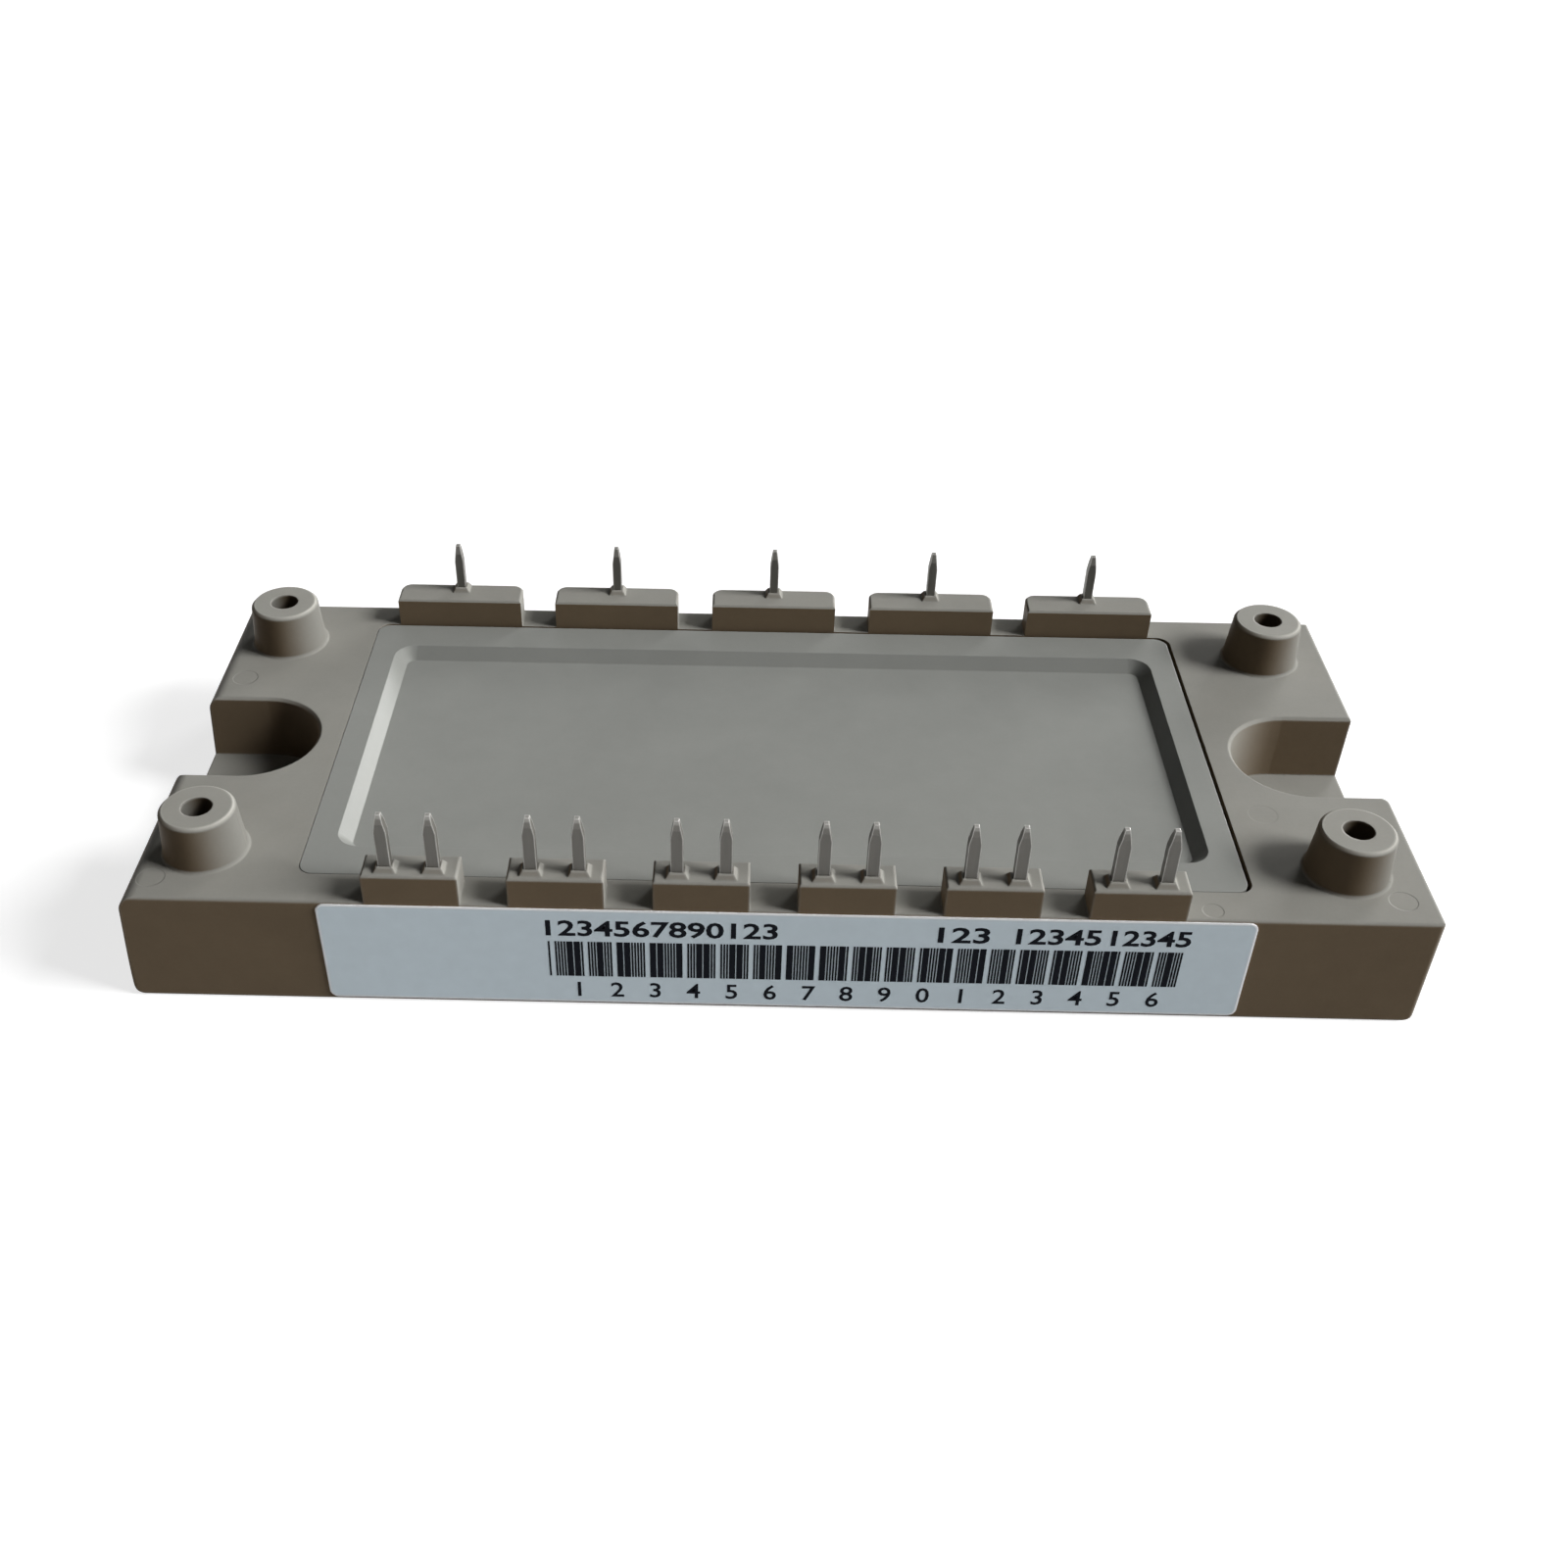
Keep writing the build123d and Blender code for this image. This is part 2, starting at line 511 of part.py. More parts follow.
def build():
    """Every node by its name."""
    control, power = control_pins(), power_pins()
    glue = bead()
    nodes = {"base_plate": base_plate(), "base_bead": glue, "housing": housing(glue, control + power),
             "lid": lid(), "label": label()}
    for index, pin in enumerate(control, 1):
        nodes[f"control_pin_{index:02d}"] = pin
    for name, pin in zip(("positive", "u", "v", "w", "negative"), power):
        nodes["power_pin_" + name] = pin
    copper = (-COPPER_X, COPPER_X, COPPER_FRONT, COPPER_BACK)
    stack = {"base_solder": block(*copper, PLATE_THICKNESS, LOWER_COPPER_Z),
             "copper_lower": block(*copper, LOWER_COPPER_Z, CERAMIC_Z),
             "ceramic": block(-CERAMIC_X, CERAMIC_X, CERAMIC_FRONT, CERAMIC_BACK, CERAMIC_Z, ISLAND_Z)}
    stack.update(copper_islands())
    pads = relay_pads()
    chips = {name: square(x, y, size, CHIP_Z, CHIP_TOP) for name, x, y, size in chip_places()}
    solder = [square(x, y, size, ISLAND_TOP, CHIP_Z) for _, x, y, size in chip_places()]
    thick, thin = power_wires(), control_wires()
    nodes.update(stack)
    nodes["relay_pads"] = Compound(pads)
    nodes["chip_solder"] = Compound(solder)
    nodes.update(chips)
    nodes["power_wires"] = Compound(thick)
    nodes["control_wires"] = Compound(thin)
    drowned = list(stack.values()) + pads + solder + list(chips.values()) + thick + thin
    nodes["gel"] = gel(drowned + control + power)
    return nodes


os.makedirs("parts", exist_ok=True)
for node, shape in build().items():
    export_step(shape, f"parts/{node}.step")
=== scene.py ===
import json
import math

import bpy
import numpy as np
from mathutils import Matrix, Vector


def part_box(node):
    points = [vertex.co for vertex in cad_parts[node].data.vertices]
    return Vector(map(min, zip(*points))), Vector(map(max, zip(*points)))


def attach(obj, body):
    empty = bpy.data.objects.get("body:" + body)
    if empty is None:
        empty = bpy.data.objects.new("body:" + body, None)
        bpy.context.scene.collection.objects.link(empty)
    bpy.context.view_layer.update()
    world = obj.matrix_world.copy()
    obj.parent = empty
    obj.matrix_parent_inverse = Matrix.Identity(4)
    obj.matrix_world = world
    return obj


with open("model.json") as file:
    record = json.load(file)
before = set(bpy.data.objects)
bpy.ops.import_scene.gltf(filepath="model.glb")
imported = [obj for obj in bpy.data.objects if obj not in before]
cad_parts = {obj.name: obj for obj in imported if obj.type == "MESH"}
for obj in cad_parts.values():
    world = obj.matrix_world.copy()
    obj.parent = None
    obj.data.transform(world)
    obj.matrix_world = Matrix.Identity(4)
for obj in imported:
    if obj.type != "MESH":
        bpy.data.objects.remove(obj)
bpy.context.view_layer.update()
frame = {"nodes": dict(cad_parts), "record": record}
nodes = frame["nodes"]
MM = 0.001

# Camera
# It looks down on the label's long side from a little left of the middle, close enough that the
# upright edges lean inwards.
IMAGE = 1600
FOCAL_PIXELS = 1723.752
PRINCIPAL_POINT = (733.0, 887.2)
SENSOR = 36.0
NEAREST_SEEN = 5 * MM
CAMERA_PLACE = Vector((-2.618, -122.893, 97.656)) * MM
CAMERA_YAW, CAMERA_PITCH, CAMERA_ROLL = (math.radians(angle) for angle in (-1.008, 39.544, 0.538))

camera = bpy.data.objects.new("camera", bpy.data.cameras.new("camera"))
bpy.context.scene.collection.objects.link(camera)
bpy.context.scene.camera = camera
camera.data.sensor_width = SENSOR
camera.data.lens = SENSOR * FOCAL_PIXELS / IMAGE
camera.data.shift_x = (IMAGE / 2 - PRINCIPAL_POINT[0]) / IMAGE
camera.data.shift_y = (PRINCIPAL_POINT[1] - IMAGE / 2) / IMAGE
camera.data.clip_start = NEAREST_SEEN
forward = Vector((math.sin(CAMERA_YAW) * math.cos(CAMERA_PITCH),
                  math.cos(CAMERA_YAW) * math.cos(CAMERA_PITCH), -math.sin(CAMERA_PITCH)))
level = Vector((math.cos(CAMERA_YAW), -math.sin(CAMERA_YAW), 0))
above = level.cross(forward)
side = math.cos(CAMERA_ROLL) * level + math.sin(CAMERA_ROLL) * above
upward = math.cos(CAMERA_ROLL) * above - math.sin(CAMERA_ROLL) * level
turn = Matrix((side, upward, -forward)).transposed().to_4x4()
camera.matrix_world = Matrix.Translation(CAMERA_PLACE) @ turn

# Floor and world
# A matt pale floor that shows as white, with the soft shadow of the module kept on it. The world is
# white to look at, and lights the module dimly, more from the right and from above than from the left.
FLOOR_HALF = 1.5
FLOOR_SEEN, FLOOR_GLOW, FLOOR_BOUNCE = 0.42, 0.75, 0.25
WORLD_LIGHT = (1.0, 0.99, 0.96, 1)
WORLD_LEFT, WORLD_RIGHT, WORLD_ABOVE = 0.01, 0.04, 0.02


def add(tree, kind, sockets=None, **settings):
    """A node with its settings, and its input sockets set to a value or linked to another's output."""
    node = tree.nodes.new("ShaderNode" + kind)
    for name, value in settings.items():
        setattr(node, name, value)
    for name, value in (sockets or {}).items():
        if isinstance(value, bpy.types.NodeSocket):
            tree.links.new(value, node.inputs[name])
        else:
            node.inputs[name].default_value = value
    return node


def maths(tree, operation, *values):
    """One Math node, and its result."""
    return add(tree, "Math", dict(enumerate(values)), operation=operation).outputs[0]


def ramp(tree, value, start_and_end, first_and_last, shape="LINEAR"):
    """Goes from the first result to the last while the value goes from start to end, and no further."""
    start, end = start_and_end
    first, last = first_and_last
    sockets = {"Value": value, "From Min": start, "From Max": end, "To Min": first, "To Max": last}
    return add(tree, "MapRange", sockets, interpolation_type=shape).outputs[0]


def grey(level):
    """A colour with that much of red, green and blue."""
    return level, level, level, 1


def seen_directly(tree):
    """One where a camera, glossy or transmission ray looks, and nought where the surface only lights."""
    path = add(tree, "LightPath").outputs
    looked = maths(tree, "MAXIMUM", path["Is Camera Ray"], path["Is Glossy Ray"])
    return maths(tree, "MAXIMUM", looked, path["Is Transmission Ray"])


floor_mesh = bpy.data.meshes.new("floor")
corners = [(x * FLOOR_HALF, y * FLOOR_HALF, 0) for x, y in ((-1, -1), (1, -1), (1, 1), (-1, 1))]
floor_mesh.from_pydata(corners, [], [(0, 1, 2, 3)])
floor = bpy.data.objects.new("floor", floor_mesh)
bpy.context.scene.collection.objects.link(floor)

floor_paper = bpy.data.materials.new("floor_paper")
floor_paper.use_nodes = True
tree = floor_paper.node_tree
tree.nodes.clear()
matt = add(tree, "BsdfDiffuse", {"Color": grey(FLOOR_SEEN)}).outputs[0]
glow = add(tree, "Emission", {"Color": grey(1), "Strength": FLOOR_GLOW}).outputs[0]
shown = add(tree, "AddShader", {0: matt, 1: glow}).outputs[0]
bounce = add(tree, "BsdfDiffuse", {"Color": grey(FLOOR_BOUNCE)}).outputs[0]
both = add(tree, "MixShader", {0: seen_directly(tree), 1: bounce, 2: shown}).outputs[0]
add(tree, "OutputMaterial", {"Surface": both})
floor_mesh.materials.append(floor_paper)

world = bpy.data.worlds.new("studio")
bpy.context.scene.world = world
world.use_nodes = True
tree = world.node_tree
tree.nodes.clear()
direction = add(tree, "TexCoord").outputs["Generated"]
axes = add(tree, "SeparateXYZ", {0: direction}).outputs
across = ramp(tree, axes["X"], (-1, 1), (WORLD_LEFT, WORLD_RIGHT))
overhead = maths(tree, "MULTIPLY", maths(tree, "MAXIMUM", axes["Z"], 0.0), WORLD_ABOVE)
dim = maths(tree, "ADD", across, overhead)
white = add(tree, "Background", {"Color": grey(1), "Strength": 1.0}).outputs[0]
lighting = add(tree, "Background", {"Color": WORLD_LIGHT, "Strength": dim}).outputs[0]
both = add(tree, "MixShader", {0: seen_directly(tree), 1: lighting, 2: white}).outputs[0]
add(tree, "OutputWorld", {"Surface": both})

# Lights
# White softboxes, each by the side it stands on: azimuth from the right-hand end towards the back,
# height, width and tall in degrees, its distance, and the light it gives a white surface that faces it.
SOFTBOXES = {
    "key": (-11, 37, 20, 18, 3.0, 1.24),
    "right_fill": (4, 18, 44, 26, 3.0, 0.55),
    "back_window": (55, 15, 18, 11, 3.0, 0.52),
    "front_near": (-108, 6, 50, 9, 0.16, 0.098),
}

for name, (azimuth, height, wide, tall, distance, given) in SOFTBOXES.items():
    light = bpy.data.lights.new(name, "AREA")
    light.shape = "RECTANGLE"
    light.size = 2 * distance * math.tan(math.radians(wide / 2))
    light.size_y = 2 * distance * math.tan(math.radians(tall / 2))
    light.energy = given * (math.pi * distance) ** 2
    lamp = bpy.data.objects.new(name, light)
    bpy.context.scene.collection.objects.link(lamp)
    turned, raised = math.radians(azimuth), math.radians(height)
    towards = Vector((math.cos(turned) * math.cos(raised), math.sin(turned) * math.cos(raised),
                      math.sin(raised)))
    lamp.location = towards * distance
    lamp.rotation_euler = towards.to_track_quat("Z", "Y").to_euler()

bpy.context.scene.view_settings.view_transform = "Standard"

# Base plate
# Stamped copper, matt nickel plated, lapped flat underneath: long rolling streaks, and edges
# rubbed a little brighter.
NICKEL = (0.46, 0.44, 0.40)
NICKEL_RUBBED = (0.66, 0.64, 0.60)
NICKEL_STREAKS = (260, 3200, 900)
EDGE_WEAR_AND_HIGHLIGHT_SHARE = 0.8
STREAK_DETAIL = 4.0
STREAK_STRENGTH, STREAK_DEPTH = 0.25, 0.03 * MM
SMOOTHER, ROUGHER = 0.10, 0.12
ROUNDING_SAMPLES, WEAR_SAMPLES = 6, 4


def group(name, inputs, outputs):
    """An empty node group, its input node's sockets, and its output node."""
    made = bpy.data.node_groups.new(name, "ShaderNodeTree")
    for label, (kind, value) in inputs.items():
        socket = made.interface.new_socket(label, in_out="INPUT", socket_type="NodeSocket" + kind)
        socket.default_value = value
    for label, kind in outputs.items():
        made.interface.new_socket(label, in_out="OUTPUT", socket_type="NodeSocket" + kind)
    return made, made.nodes.new("NodeGroupInput").outputs, made.nodes.new("NodeGroupOutput").inputs


def placed(tree, made, **sockets):
    """Places a node group with its own values and gives its outputs."""
    node = tree.nodes.new("ShaderNodeGroup")
    node.node_tree = made
    for name, value in sockets.items():
        target = node.inputs[name.capitalize()]
        if isinstance(value, bpy.types.NodeSocket):
            tree.links.new(value, target)
        else:
            target.default_value = value
    return node.outputs


def own_place(tree):
    """Where a point lies on the piece."""
    return add(tree, "TexCoord").outputs["Object"]


def vectors(tree, operation, *values):
    """One Vector Math node, and its result."""
    node = add(tree, "VectorMath", dict(enumerate(values)), operation=operation)
    return node.outputs["Value" if operation == "LENGTH" else "Vector"]


def noise(tree, place, scale, detail, distortion=0.0):
    """Soft noise around a half: a higher scale makes it finer, and more detail makes it rougher."""
    sockets = {"Vector": place, "Scale": scale, "Detail": detail, "Distortion": distortion}
    return add(tree, "TexNoise", sockets).outputs[0]


def shade(tree, colour, value):
    """A colour made lighter or darker by a value around one."""
    return add(tree, "VectorMath", {0: colour, "Scale": value}, operation="SCALE").outputs[0]


def mixed(tree, factor, first, second):
    """Two colours mixed by a factor. Either may be a socket."""
    node = add(tree, "Mix", {"Factor": factor}, data_type="RGBA", blend_type="MIX")
    for socket, value in zip((node.inputs[6], node.inputs[7]), (first, second)):
        if isinstance(value, bpy.types.NodeSocket):
            tree.links.new(value, socket)
        else:
            socket.default_value = (*value, 1)
    return node.outputs[2]


def bumped(tree, height, strength, depth, normal=None, inwards=False):
    """A normal tilted by the slope of a height, so that fine relief catches the light."""
    sockets = {"Height": height, "Strength": strength, "Distance": depth}
    if normal is not None:
        sockets["Normal"] = normal
    return add(tree, "Bump", sockets, invert=inwards).outputs[0]


def edges_group():
    """Rounds the shading of every edge over a radius, and gives a mask that is one along outward edges:
    there half of the directions into the solid leave it again within the radius."""
    made, given, out = group("edge_wear_and_highlight", {"Radius": ("Float", 0.0002), "Strength": ("Float", 1.0)},
                             {"Mask": "Float", "Normal": "Vector"})
    rounded = add(made, "Bevel", {"Radius": given["Radius"]}, samples=ROUNDING_SAMPLES).outputs[0]
    within = add(made, "AmbientOcclusion", {"Distance": given["Radius"]}, inside=True, only_local=True,
                 samples=WEAR_SAMPLES).outputs["AO"]
    near = maths(made, "MINIMUM", maths(made, "MULTIPLY", maths(made, "SUBTRACT", 1.0, within), 2.0), 1.0)
    made.links.new(maths(made, "MULTIPLY", near, given["Strength"]), out["Mask"])
    made.links.new(rounded, out["Normal"])
    return made


def streaks_group():
    """Fine parallel streaks: noise stretched along one axis by the scale given for each axis."""
    made, given, out = group("rolled_streaks", {"Scale": ("Vector", (1, 1, 1)), "Depth": ("Float", 0.5)},
                             {"Value": "Float", "Height": "Float"})
    streaks = noise(made, vectors(made, "MULTIPLY", own_place(made), given["Scale"]), 1.0, STREAK_DETAIL)
    centred = maths(made, "SUBTRACT", streaks, 0.5)
    made.links.new(maths(made, "MULTIPLY_ADD", centred, given["Depth"], 1.0), out["Value"])
    made.links.new(streaks, out["Height"])
    return made


edge_wear_and_highlight, rolled_streaks = edges_group(), streaks_group()


def material_on(name, node_names):
    """A new material on the named CAD nodes; gives its empty node tree."""
    made = bpy.data.materials.new(name)
    made.use_nodes = True
    made.node_tree.nodes.clear()
    for node_name in node_names:
        mesh = nodes[node_name].data
        mesh.materials.clear()
        mesh.materials.append(made)
    return made.node_tree


def finish(tree, sockets):
    """Ends a material with a Principled shader that has these values and links."""
    shader = add(tree, "BsdfPrincipled", sockets)
    add(tree, "OutputMaterial", {"Surface": shader.outputs[0]})


def metal(tree, base, bright, streaks, depth, roughness, edge_radius=0.2 * MM):
    """Metal with streaks along one axis, brighter along its edges, as rubbed wear and, on the pins, as a
    painted highlight: its colour, roughness and normal."""
    lines = placed(tree, rolled_streaks, scale=streaks, depth=depth)
    edges = placed(tree, edge_wear_and_highlight, radius=edge_radius, strength=EDGE_WEAR_AND_HIGHLIGHT_SHARE)
    # Brighter along the edges: rubbed wear, and on the pins a painted highlight.
    tone = mixed(tree, edges["Mask"], base, bright)
    return {"Base Color": shade(tree, tone, lines["Value"]),
            "Roughness": ramp(tree, lines["Height"], (0, 1), (roughness - SMOOTHER, roughness + ROUGHER)),
            "Normal": bumped(tree, lines["Height"], STREAK_STRENGTH, STREAK_DEPTH, normal=edges["Normal"])}


tree = material_on("plate_nickel", ["base_plate"])
surface = metal(tree, NICKEL, NICKEL_RUBBED, NICKEL_STREAKS, depth=0.22, roughness=0.40)
finish(tree, {**surface, "Metallic": 0.9})

# Solder, ceramic and etched copper
# The soldered stack in the well: a dull solder layer, a copper sheet, a fine-grained alumina
# tile, and the copper islands etched on top of it, gone slightly brown where they were hot.
SOLDER = (0.52, 0.52, 0.54)
SOLDER_STREAKS = (1500, 1500, 1500)
COPPER = (0.60, 0.28, 0.14)
COPPER_BRIGHT = (0.82, 0.48, 0.30)
COPPER_STREAKS = (700, 2600, 700)
COPPER_NODES = ["copper_lower", "copper_positive", "copper_negative", "copper_phase_u", "copper_phase_v",
                "copper_phase_w", "relay_pads"]
ALUMINA = (0.80, 0.79, 0.75)
ALUMINA_GRAIN = 5200.0

tree = material_on("solder", ["base_solder", "chip_solder"])
surface = metal(tree, SOLDER, SOLDER, SOLDER_STREAKS, depth=0.3, roughness=0.38)
finish(tree, {**surface, "Metallic": 0.9})

tree = material_on("copper", COPPER_NODES)
surface = metal(tree, COPPER, COPPER_BRIGHT, COPPER_STREAKS, depth=0.25, roughness=0.36)
finish(tree, {**surface, "Metallic": 0.9})


def speckled(tree, colour, grain, darkest, lightest):
    """A colour shaded by a noise, from its darkest share to its lightest. It may be a socket."""
    return shade(tree, colour, ramp(tree, grain, (0, 1), (darkest, lightest)))


tree = material_on("ceramic_white", ["ceramic"])
grain = noise(tree, own_place(tree), ALUMINA_GRAIN, detail=3.0)
finish(tree, {"Base Color": speckled(tree, ALUMINA, grain, darkest=0.93, lightest=1.05),
              "Normal": bumped(tree, grain, strength=0.3, depth=0.01 * MM), "Roughness": 0.72})

# Chips
# Silicon tiles with an aluminium top metal, and the dark guard ring around it that keeps the
# voltage off the sawn edge.
CHIP_METAL = (0.55, 0.56, 0.58)
GUARD_RING = (0.10, 0.11, 0.15)
GUARD_WIDTH = 0.45 * MM
CHIP_NODES = sorted(name for name in nodes if "_chip_" in name)


def from_middle(tree, low, high):
    """How far a point lies from the middle of a box, along each axis."""
    centred = add(tree, "Mapping", {"Vector": own_place(tree), "Location": -(low + high) / 2}).outputs[0]
    return vectors(tree, "ABSOLUTE", centred)


for chip in CHIP_NODES:
    low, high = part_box(chip)
    tree = material_on("silicon_" + chip, [chip])
    reach = add(tree, "SeparateXYZ", {0: from_middle(tree, low, high)}).outputs
    outer = maths(tree, "MAXIMUM", reach["X"], reach["Y"])
    ring = maths(tree, "GREATER_THAN", outer, (high.x - low.x) / 2 - GUARD_WIDTH)
    finish(tree, {"Base Color": mixed(tree, ring, CHIP_METAL, GUARD_RING), "Roughness": 0.3,
                  "Metallic": maths(tree, "SUBTRACT", 1.0, ring)})

# Bond wires
# Drawn aluminium, looped from the chips to the copper and to the leads, and welded by rubbing, so
# that the feet are pressed flat and frosted where the bonding tool held them.
ALUMINIUM = (0.72, 0.72, 0.74)
ALUMINIUM_BRIGHT = (0.85, 0.85, 0.87)
WIRE_STREAKS = (900, 900, 900)

tree = material_on("wire_aluminium", ["power_wires", "control_wires"])
surface = metal(tree, ALUMINIUM, ALUMINIUM_BRIGHT, WIRE_STREAKS, depth=0.2, roughness=0.34,
                edge_radius=0.06 * MM)
finish(tree, {**surface, "Metallic": 1.0})

# Glue bead
# Grey silicone, laid as a ring on the plate's edge. It cures between the plate and the moulding,
# and keeps the gel in.
GLUE = (0.30, 0.30, 0.28)
GLUE_SWELL = 420.0

tree = material_on("glue", ["base_bead"])
swell = noise(tree, own_place(tree), GLUE_SWELL, detail=2.0)
finish(tree, {"Base Color": speckled(tree, GLUE, swell, darkest=0.88, lightest=1.1), "Roughness": 0.5})

# Housing
# One moulding of glass-filled plastic, brown on its walls, with a paler grey painted on what faces up
# or to the right as painted light and sheen. Ejector pins left shallow round prints in it. Its edges are
# sharpest along the lid and elsewhere carry a painted highlight. Its bosses carry painted shade on their
# sides and in their holes, have lighter tops, and have a painted highlight round the rim.
PLASTIC = (0.155, 0.114, 0.072)
# Painted light and sheen: the paler grey given to what faces up or to the right.
PLASTIC_PAINTED_LIGHT = (0.245, 0.243, 0.222)
# Painted highlight: the paler colour along the outward edges.
PLASTIC_EDGE_HIGHLIGHT = (0.40, 0.38, 0.35)
EDGE_HIGHLIGHT_SHARE = 0.25
EDGE_RADIUS, SEAM_RADIUS = 0.22 * MM, 0.03 * MM
SEAM_NEAR, SEAM_FAR = 0.4 * MM, 0.6 * MM
CLOUDS, SMUDGES, PATCHES, GLASS_GRAIN = 70.0, 520.0, 160.0, 3500.0
SMUDGE_SHARE, CLOUD_SWING = 0.35, 4.0
PAINTED_LIGHT_FROM, PAINTED_LIGHT_FULL, PAINTED_LIGHT_RIGHT = -0.10, 0.80, 0.7
EJECTOR_PRINTS = ((-49.33, 9.27, 1.2, 1.0), (-49.98, -19.93, 1.2, 1.0), (50.07, -19.70, 1.2, 1.0),
                  (34.67, -21.32, 0.9, 1.0), (41.4, -8.66, 1.3, 0.3))
PRINT_RIM, PRINT_DEPTH = 0.12 * MM, 0.03 * MM
LID_LOW, LID_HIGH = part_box("lid")
BOSSES = next(mount for mount in frame["record"]["mounts"] if mount["name"] == "board_bosses")
BOSS_PLACE = (BOSSES["dims"]["spacing_x_mm"] / 2 * MM, BOSSES["dims"]["spacing_y_mm"] / 2 * MM, 0)
BOSS_ENDS = BOSS_PLACE[0] - 5.5 * MM
BOSS_FOOT, BOSS_TOP = LID_HIGH.z, BOSSES["pos_m"][2]
BOSS_HOLE, BOSS_RIM = BOSSES["dims"]["hole_r_mm"] * MM, 2.9 * MM
FOOT_BLEND, HOLE_BLEND, RIM_BLEND = 0.15 * MM, 0.03 * MM, 0.25 * MM
TOP_FROM, TOP_FULL = BOSS_TOP - 0.25 * MM, BOSS_TOP - 0.05 * MM
# Painted shade on the boss sides and in their holes, and a painted highlight round their rims.
BOSS_SIDE_SHADE, BOSS_TOP_TONE, BOSS_RIM_HIGHLIGHT, BOSS_HOLE_SHADE = 0.76, 1.45, 1.35, 0.6


def moulding_group():
    """What a moulded surface has: clouds and smaller smudges that shade it, and a fine grain for its
    bump. The sum of both noises is centred on nought, and the cloud value is about its full swing."""
    made, given, out = group("moulded_surface",
                             {"Cloud": ("Float", 0.06), "Grain": ("Float", GLASS_GRAIN)},
                             {"Value": "Float", "Height": "Float"})
    place = own_place(made)
    clouds = noise(made, place, CLOUDS, detail=3.0, distortion=0.6)
    smudges = noise(made, place, SMUDGES, detail=4.0)
    both = maths(made, "MULTIPLY_ADD", smudges, SMUDGE_SHARE, clouds)
    centred = maths(made, "SUBTRACT", both, 0.5 * (1 + SMUDGE_SHARE))
    depth = maths(made, "MULTIPLY", given["Cloud"], CLOUD_SWING)
    grain = noise(made, place, given["Grain"], detail=2.0)
    speck = maths(made, "MULTIPLY", maths(made, "SUBTRACT", grain, 0.5), given["Cloud"])
    value = maths(made, "ADD", maths(made, "MULTIPLY_ADD", centred, depth, 1.0), speck)
    made.links.new(value, out["Value"])
    made.links.new(grain, out["Height"])
    return made


def painted_light_group():
    """How much painted light and sheen a surface gets: all on what faces up or towards the lit right-hand
    end, none on other walls, by the lean of its normal, and thinned in patches by a wide noise."""
    made, given, out = group("painted_light", {"Normal": ("Vector", (0, 0, 1)), "Patches": ("Float", 0.15)},
                             {"Mask": "Float"})
    axes = add(made, "SeparateXYZ", {0: given["Normal"]}).outputs
    lean = maths(made, "MULTIPLY_ADD", axes["X"], PAINTED_LIGHT_RIGHT, axes["Z"])
    lying = ramp(made, lean, (PAINTED_LIGHT_FROM, PAINTED_LIGHT_FULL), (0, 1), "SMOOTHSTEP")
    patch = noise(made, own_place(made), PATCHES, detail=3.0)
    thinned = maths(made, "SUBTRACT", 1.0, maths(made, "MULTIPLY", patch, given["Patches"]))
    made.links.new(maths(made, "MULTIPLY", lying, thinned), out["Mask"])
    return made


def plan_distance(tree, place, centre):
    """How far a place is from an upright line: the length of the level part of the way between them."""
    away = vectors(tree, "SUBTRACT", place, centre)
    return vectors(tree, "LENGTH", vectors(tree, "MULTIPLY", away, (1, 1, 0)))


def disc_group():
    """One inside a circle in plan and nought outside, with a soft rim: the distance to its middle,
    mapped over the rim."""
    made, given, out = group("ejector_print", {"Centre": ("Vector", (0, 0, 0)), "Radius": ("Float", 0.001)},
                             {"Mask": "Float"})
    distance = plan_distance(made, own_place(made), given["Centre"])
    inner = maths(made, "SUBTRACT", given["Radius"], PRINT_RIM)
    made.links.new(ramp(made, distance, (inner, given["Radius"]), (1, 0), "SMOOTHSTEP"), out["Mask"])
    return made


def boss_light_and_shade_group():
    """A tone of one everywhere but on the bosses, which stand up beyond the lid's height near the two
    ends: painted shade darkens their sides and, more, their holes, their tops are lighter, and a painted
    highlight brightens them round the rim."""
    made, given, out = group("boss_light_and_shade", {"Side": ("Float", 1.0), "Top": ("Float", 1.0),
                                           "Rim": ("Float", 1.0), "Hole": ("Float", 1.0)},
                             {"Value": "Float"})
    place = own_place(made)
    axes = add(made, "SeparateXYZ", {0: place}).outputs
    at_end = maths(made, "GREATER_THAN", maths(made, "ABSOLUTE", axes["X"]), BOSS_ENDS)
    distance = plan_distance(made, vectors(made, "ABSOLUTE", place), BOSS_PLACE)
    side_shade = ramp(made, axes["Z"], (BOSS_FOOT, BOSS_FOOT + FOOT_BLEND), (1, given["Side"]))
    rim_highlight = ramp(made, distance, (BOSS_RIM - RIM_BLEND, BOSS_RIM), (1, given["Rim"]))
    top_or_rim = maths(made, "MULTIPLY", given["Top"], rim_highlight)
    top_tone = ramp(made, axes["Z"], (TOP_FROM, TOP_FULL), (1, top_or_rim))
    hole_shade = ramp(made, distance, (BOSS_HOLE, BOSS_HOLE + HOLE_BLEND), (given["Hole"], 1))
    both = maths(made, "MULTIPLY", maths(made, "MULTIPLY", side_shade, top_tone), hole_shade)
    kept = maths(made, "MULTIPLY_ADD", maths(made, "SUBTRACT", both, 1.0), at_end, 1.0)
    made.links.new(kept, out["Value"])
    return made


moulded_surface, painted_light, ejector_print = moulding_group(), painted_light_group(), disc_group()
boss_light_and_shade = boss_light_and_shade_group()

